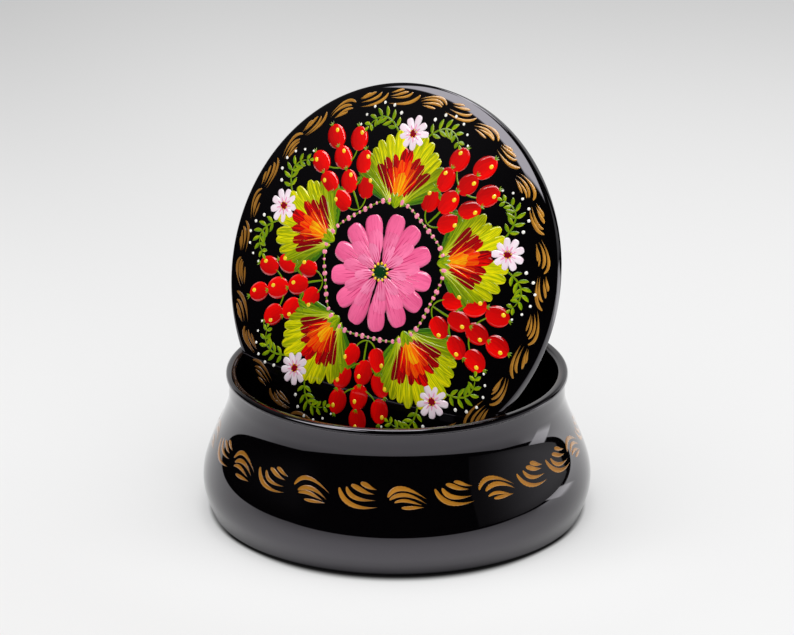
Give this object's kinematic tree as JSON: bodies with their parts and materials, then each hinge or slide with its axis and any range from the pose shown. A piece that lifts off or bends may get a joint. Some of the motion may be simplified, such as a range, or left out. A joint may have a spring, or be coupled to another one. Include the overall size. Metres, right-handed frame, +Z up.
{
  "type": "lacquer jewelry box",
  "caption": "Round turned-wood box in black lacquer: a bellied open bowl with its domed lid standing upright, wedged edgewise in the mouth.",
  "frame": {"origin": "middle of the flat foot that the bowl stands on", "axes": "+Z up along the bowl's axis; the standing lid's painted face looks toward -Y and it leans back toward +Y; X is along the lid's width"},
  "size_m": [0.15, 0.15, 0.1634],
  "materials": {
    "black_lacquer": "gloss black lacquer over turned limewood, with brushed ornament under the clear coat",
    "ochre_paint": "brushed ochre gold strokes under gloss varnish",
    "red_paint": "dabbed and brushed reds and oranges under gloss varnish",
    "leaf_paint": "brushed yellow greens under gloss varnish",
    "petal_paint": "brushed pinks and whites under gloss varnish"
  },
  "bodies": {
    "bowl": {"bowl": "black_lacquer"},
    "lid": {"lid": "black_lacquer"}
  },
  "joints": [
    {"name": "lid_lift", "type": "slide", "parent": "bowl", "child": "lid", "axis": [0, 0.3567, 0.9342], "range_m": [0, 0.06]}
  ]
}
